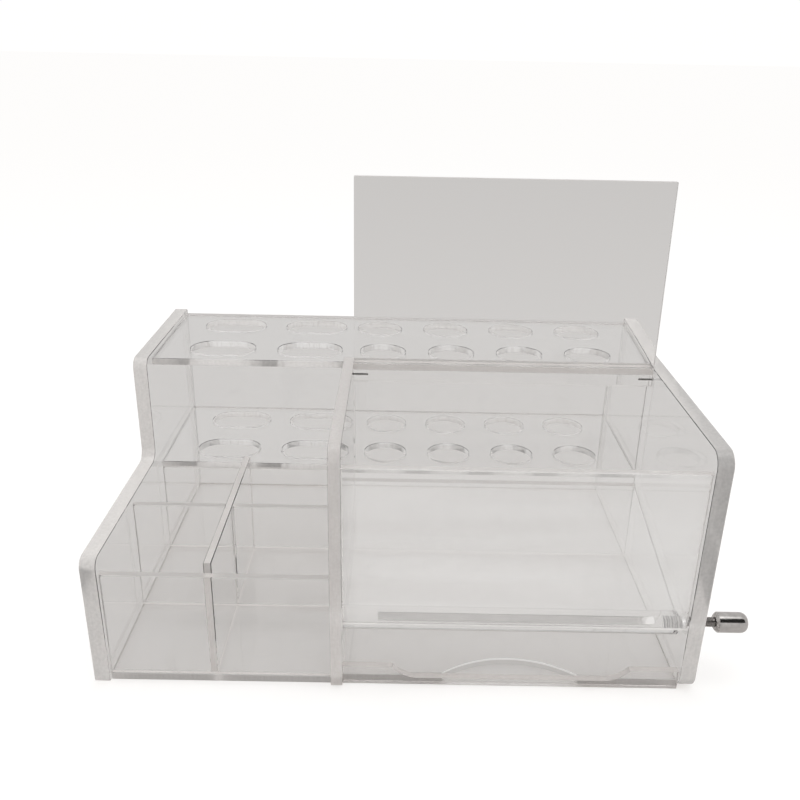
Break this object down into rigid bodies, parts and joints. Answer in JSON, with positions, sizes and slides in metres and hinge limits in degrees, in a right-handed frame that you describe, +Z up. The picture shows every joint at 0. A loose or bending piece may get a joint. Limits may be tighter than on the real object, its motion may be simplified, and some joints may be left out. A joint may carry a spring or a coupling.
{
  "type": "stick dispenser organiser",
  "caption": "Clear acrylic bench organiser: open trays, drilled bottle shelves and a lidded hopper whose hand-turned grooved roller hands out sticks.",
  "frame": {"origin": "middle of the case's underside, on the bench, midway between the side panels and between their front and rear edges", "axes": "+X to the knob side, along the roller; +Y to the back; +Z up"},
  "size_m": [0.331, 0.212, 0.2382],
  "materials": {
    "clear_acrylic": "clear, flame-polished edges",
    "lid_acrylic": "clear thin sheet",
    "roller_acrylic": "clear cast rod with a milled groove",
    "stud_steel": "plated screw thread",
    "polished_nickel": "dark polished nickel",
    "pin_steel": "bright wire"
  },
  "bodies": {
    "case": {"base_panel": "clear_acrylic", "left_side_panel": "clear_acrylic", "right_side_panel": "clear_acrylic", "middle_panel": "clear_acrylic", "back_panel": "clear_acrylic", "top_shelf": "clear_acrylic", "lower_shelf": "clear_acrylic", "tray_riser_panel": "clear_acrylic", "tray_front_panel": "clear_acrylic", "tray_cross_divider": "clear_acrylic", "tray_long_divider": "clear_acrylic", "hopper_rear_panel": "clear_acrylic", "hopper_top_strip": "clear_acrylic", "hopper_sloped_floor": "clear_acrylic", "hopper_front_panel": "clear_acrylic", "delivery_lip": "clear_acrylic"},
    "lid": {"lid_panel": "lid_acrylic", "hinge_pin_left": "pin_steel", "hinge_pin_right": "pin_steel"},
    "roller": {"roller_rod": "roller_acrylic", "roller_stud": "stud_steel", "knob": "polished_nickel"}
  },
  "joints": [
    {"name": "lid_hinge", "type": "hinge", "parent": "case", "child": "lid", "pos_m": [0.059, 0.0042, 0.128], "axis": [1, 0, 0], "range_deg": [0, 93]},
    {"name": "roller_spin", "type": "hinge", "parent": "case", "child": "roller", "pos_m": [0.059, -0.0934, 0.0338], "axis": [1, 0, 0], "continuous": true}
  ]
}
